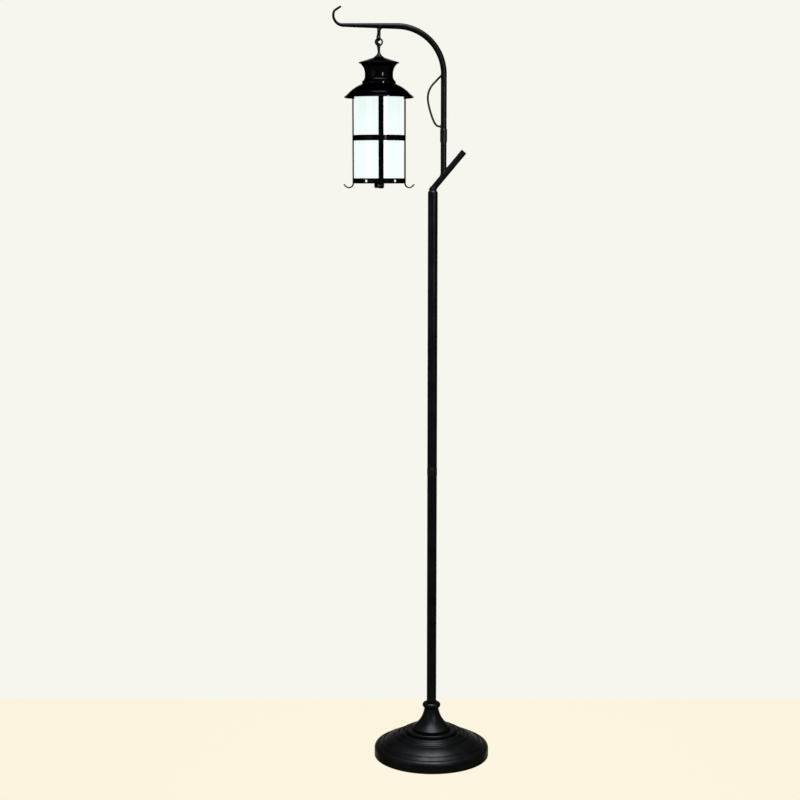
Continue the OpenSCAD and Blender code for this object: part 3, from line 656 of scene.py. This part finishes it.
class LAMP_OT_welds(bpy.types.Operator):
    """Weld beads at the neck, at the riser's foot and round the staple's legs"""

    bl_idname = "lamp.welds"
    bl_label = "Welds"

    # Where the branch's axis meets the post's
    FOOT = Vector((0, 0, BRANCH_Z))
    # The staple's beads: the radius at which each runs round its leg, and its own
    LEG_R = 2.1 * MM
    LEG_BEAD = 0.9 * MM

    def bead(self, name, line, radius):
        """A closed bead along a line, its surface a little uneven."""
        bm = sweep_round(line, radius, first=(0, 0, 1), segments=12, closed=True)
        for vert in bm.verts:
            wave = sin(vert.co.x * 5200) * sin(vert.co.y * 4700 + 1.3) * sin(vert.co.z * 4300)
            vert.co += vert.normal * wave * 0.1 * MM
        settle(name, bm, "lamp", bpy.data.materials["post_enamel"])

    def riser_line(self, r):
        """Round the riser, where it stands on the branch."""
        line = []
        run_r = TUBE_R + r * 0.35
        for a in round_angles(72):
            x, y = RISER_X + run_r * cos(a), run_r * sin(a)
            y_in = max(-TUBE_R, min(TUBE_R, y))
            lift = sqrt(BRANCH_R ** 2 - y_in ** 2) + r * 0.3
            line.append((x, y, BRANCH_Z + (lift + x * sin(BRANCH_ANGLE)) / cos(BRANCH_ANGLE)))
        return line

    def neck_line(self, r):
        """Round the branch, at the first places along it that are outside the post's neck."""
        ahead = Vector((cos(BRANCH_ANGLE), 0, sin(BRANCH_ANGLE)))
        up = Vector((-sin(BRANCH_ANGLE), 0, cos(BRANCH_ANGLE)))
        line = []
        for a in round_angles(72):
            rim = (BRANCH_R + r * 0.2) * (cos(a) * up + sin(a) * Vector((0, 1, 0)))
            s = 0.0
            while s < 20 * MM:
                p = self.FOOT + rim + s * ahead
                if Vector((p.x, p.y)).length > NECK_R or p.z > NECK_TOP:
                    break
                s += 0.1 * MM
            line.append(self.FOOT + rim + s * ahead)
        for _ in range(6):
            line = [
                (line[i - 1] + 2 * line[i] + line[(i + 1) % len(line)]) / 4
                for i in range(len(line))
            ]
        return line

    def leg_line(self, side):
        """Round one leg of the staple, where it meets the bar's underside."""
        leg_x = HANG_X + side * STAPLE_R * cos(STAPLE_TURN)
        leg_y = side * STAPLE_R * sin(STAPLE_TURN)
        bar_r = bar_radius(STAPLE_AT) * MM
        line = []
        for a in round_angles(40):
            x, y = leg_x + self.LEG_R * cos(a), leg_y + self.LEG_R * sin(a)
            axis_z = ARM_Z + (BEND_X - x) * tan(BAR_LEAN)
            drop = sqrt(max(0, bar_r ** 2 - min(abs(y), bar_r * 0.96) ** 2))
            line.append((x, y, axis_z - drop - 0.1 * MM))
        return line

    def execute(self, context):
        r = context.scene.lamp_sizes.weld / 2
        self.bead("weld_riser", self.riser_line(r), r)
        self.bead("weld_neck", self.neck_line(r), r)
        self.bead("weld_staple_front", self.leg_line(-1), self.LEG_BEAD)
        self.bead("weld_staple_back", self.leg_line(1), self.LEG_BEAD)
        return {"FINISHED"}


class LAMP_OT_straps(bpy.types.Operator):
    """The four forged straps, each with the curl at its foot"""

    bl_idname = "lamp.straps"
    bl_label = "Straps"

    # In millimetres: radius outside the bands, heights from the lid's flat, the curl's radius,
    # and distances along its straight tip
    BANDS_R = 51.3 + 1.3 + 0.05
    TOP = -67.6
    FOOT = -68 - 187 - 1 - 1.5 + 0.4
    CURL_R = 9.0
    TIP = (1.5, 3, 4.2, 5.2, 5.8, 6.0)
    # Before the strap's end: where it starts to widen, how far that takes, where it narrows
    WIDENS = 34 * MM
    WIDENING = 12 * MM
    NARROWS = 20 * MM

    def line(self, thickness):
        """Points down the strap and round its curl: out from the hanging line, and height."""
        r = self.BANDS_R + thickness / 2 / MM
        drop = self.TOP - self.FOOT
        line = [(r, self.TOP - k * drop / 24) for k in range(24)]
        x, z = r + self.CURL_R, self.FOOT
        line += [
            (x + self.CURL_R * cos(radians(a)), z + self.CURL_R * sin(radians(a)))
            for a in range(180, 316, 5)
        ]
        x, z = line[-1]
        return line + [(x + k * sqrt(0.5), z + k * sqrt(0.5)) for k in self.TIP]

    def half_width(self, left, narrow, wide):
        """Half the strap's width, by how much of its length is left."""
        t = min(1.0, max(0.0, (self.WIDENS - left) / self.WIDENING))
        width = narrow + (wide - narrow) * t * t * (3 - 2 * t)
        u = min(1.0, max(0.0, (self.NARROWS - left) / self.NARROWS))
        width *= 1 - 0.62 * u ** 0.6
        if left < width:
            width *= sqrt(max(0.05, 1 - (1 - left / width) ** 2))
        return width

    def execute(self, context):
        s = context.scene.lamp_sizes
        line = self.line(s.strap_thickness)
        for index, name in enumerate(("front", "right", "back", "left")):
            turn = LANTERN_TURN + (index - 1) * pi / 2
            out = Vector((cos(turn), sin(turn), 0))
            path = [at_lantern(out, x, z) for x, z in line]
            total = length_of(path)
            scales = []
            for i in range(len(path)):
                left = total - length_of(path[: i + 1])
                width = self.half_width(left, s.strap_width / 2, s.curl_width / 2)
                scales.append((width, s.strap_thickness / 2))
            across = Vector((-out.y, out.x, 0))
            bm = sweep(path, scales, first=across, segments=4, phase=pi / 4)
            bmesh.ops.recalc_face_normals(bm, faces=bm.faces)
            edges = [
                e for e in bm.edges
                if len(e.link_faces) == 2 and e.calc_face_angle() > radians(50)
            ]
            bmesh.ops.bevel(
                bm, geom=edges, offset=0.45 * MM, offset_type="OFFSET", segments=3,
                profile=0.5, affect="EDGES", material=-1, clamp_overlap=True,
            )
            enamel = bpy.data.materials["lantern_enamel"]
            piece = settle("forged_strap_" + name, bm, "lantern", enamel, sharp=50)
            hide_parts("strap_" + name)
        return {"FINISHED"}


class LAMP_OT_edges(bpy.types.Operator):
    """Wired edges of roof and lid"""

    bl_idname = "lamp.edges"
    bl_label = "Wired edges"

    # Outer radius of each rim, and its wire's height below the lid's flat
    ROOF_R = 72.5 * MM
    ROOF_DROP = 80.9 * MM
    LID_R = 42.2 * MM
    LID_DROP = 11.0 * MM
    # The lid's wire, as a share of the roof's
    LID_WIRE = 0.8

    def bead(self, name, rim_r, drop, r):
        """A wired edge: a small round section spun about the lantern's axis."""
        bm = bmesh.new()
        place = Matrix.Translation((rim_r - r, 0, LID_Z - drop))
        circle = bmesh.ops.create_circle(
            bm, segments=16, radius=r, matrix=place @ Matrix.Rotation(pi / 2, 4, "X")
        )["verts"]
        bmesh.ops.spin(
            bm, geom=circle + bm.edges[:], cent=(0, 0, 0), axis=(0, 0, 1), angle=2 * pi,
            steps=160, use_merge=True,
        )
        bmesh.ops.translate(bm, verts=bm.verts, vec=(HANG_X, 0, 0))
        settle(name, bm, "lantern", bpy.data.materials["lantern_enamel"])

    def execute(self, context):
        r = context.scene.lamp_sizes.wired_edge / 2
        self.bead("roof_wired_edge", self.ROOF_R, self.ROOF_DROP, r)
        self.bead("lid_wired_edge", self.LID_R, self.LID_DROP, r * self.LID_WIRE)
        return {"FINISHED"}


class LAMP_OT_finishes(bpy.types.Operator):
    """Enamel, steel, rubber, felt and lit glass on the CAD pieces"""

    bl_idname = "lamp.finishes"
    bl_label = "Finishes"

    def execute(self, context):
        f = finish_settings()
        enamel = coated("post_enamel", f.post_colour, 0.37, 0.04, 0.08, metal=1.0, edge=0.5)
        band = coated("band_enamel", f.band_colour, 0.36, 0.1, 0.14, metal=1.0, edge=0.5)
        finishes = {
            "felt": pressed_felt("pressed_felt", (0.02, 0.02, 0.02)),
            "cast_iron": coated(
                "cast_iron", (0.08, 0.08, 0.085), 0.7, 0.6, 1.4, metal=0.6, gloss=0.5
            ),
            "black_enamel": enamel,
            "wrought_black": hammered("link_black", f.post_colour, 0.34),
            "lantern_black": coated(
                "lantern_enamel", f.lantern_colour, 0.09, 0.06, 0.02, metal=1.0, edge=0.25
            ),
            "plain_steel": coated(
                "zinc_steel", (0.5, 0.51, 0.53), 0.34, 0.1, 0.3, metal=1.0, gloss=0.5, streak=0.1
            ),
            "brass": coated("sprung_brass", (0.72, 0.5, 0.2), 0.3, 0.1, 0.2, metal=1.0, gloss=0.5),
            "black_rubber": coated("black_rubber", (0.012, 0.012, 0.012), 0.7, 0.2, 0.5),
            "black_plastic": coated("black_plastic", (0.01, 0.01, 0.011), 0.5, 0.2, 0.4),
            "flex_sheath": flex_black("lead_sheath"),
            "gasket": coated("white_silicone", (0.7, 0.7, 0.68), 0.6, 0.2, 0.3),
            "bulb_glass": lit_opal("frosted_bulb", (1.0, 0.98, 0.94), 0.6),
            "opal_glass": lit_opal("lit_opal_glass", f.glass_colour, f.glass_glow),
        }
        slots = {p["node"]: p["material_slot"] for p in frame["record"]["subparts"]}
        for name, piece in frame["nodes"].items():
            material = finishes[slots[name]]
            if name in ("riser_ferrule", "post_joint_band"):
                material = band
            piece.data.materials.clear()
            piece.data.materials.append(material)
        return {"FINISHED"}


class LAMP_PT_panel(bpy.types.Panel):
    """Lists the lamp's pieces and settings"""

    bl_idname = "LAMP_PT_panel"
    bl_label = "Lantern Lamp"
    bl_space_type = "VIEW_3D"
    bl_region_type = "UI"
    bl_category = "Lantern Lamp"

    def draw(self, context):
        layout = self.layout
        for operator in OPERATORS:
            layout.operator(operator.bl_idname)
        for group in GROUPS:
            box = layout.box()
            settings = getattr(context.scene, group)
            for key in settings.__annotations__:
                box.prop(settings, key)


OPERATORS = (
    LAMP_OT_stage, LAMP_OT_flex, LAMP_OT_finishes, LAMP_OT_arm, LAMP_OT_welds,
    LAMP_OT_straps, LAMP_OT_edges,
)
GROUPS = {
    "lamp_sizes": LAMP_PG_sizes,
    "lamp_finishes": LAMP_PG_finishes,
    "lamp_stage": LAMP_PG_stage,
}


def register():
    for kind in (*GROUPS.values(), *OPERATORS, LAMP_PT_panel):
        bpy.utils.register_class(kind)
    for name, group in GROUPS.items():
        setattr(bpy.types.Scene, name, bpy.props.PointerProperty(type=group))


def unregister():
    for name in GROUPS:
        delattr(bpy.types.Scene, name)
    for kind in reversed((*GROUPS.values(), *OPERATORS, LAMP_PT_panel)):
        bpy.utils.unregister_class(kind)


def main():
    register()
    bpy.ops.lamp.stage()
    bpy.ops.lamp.flex()
    bpy.ops.lamp.finishes()
    bpy.ops.lamp.arm()
    bpy.ops.lamp.welds()
    bpy.ops.lamp.straps()
    bpy.ops.lamp.edges()


if __name__ == "__main__":
    main()
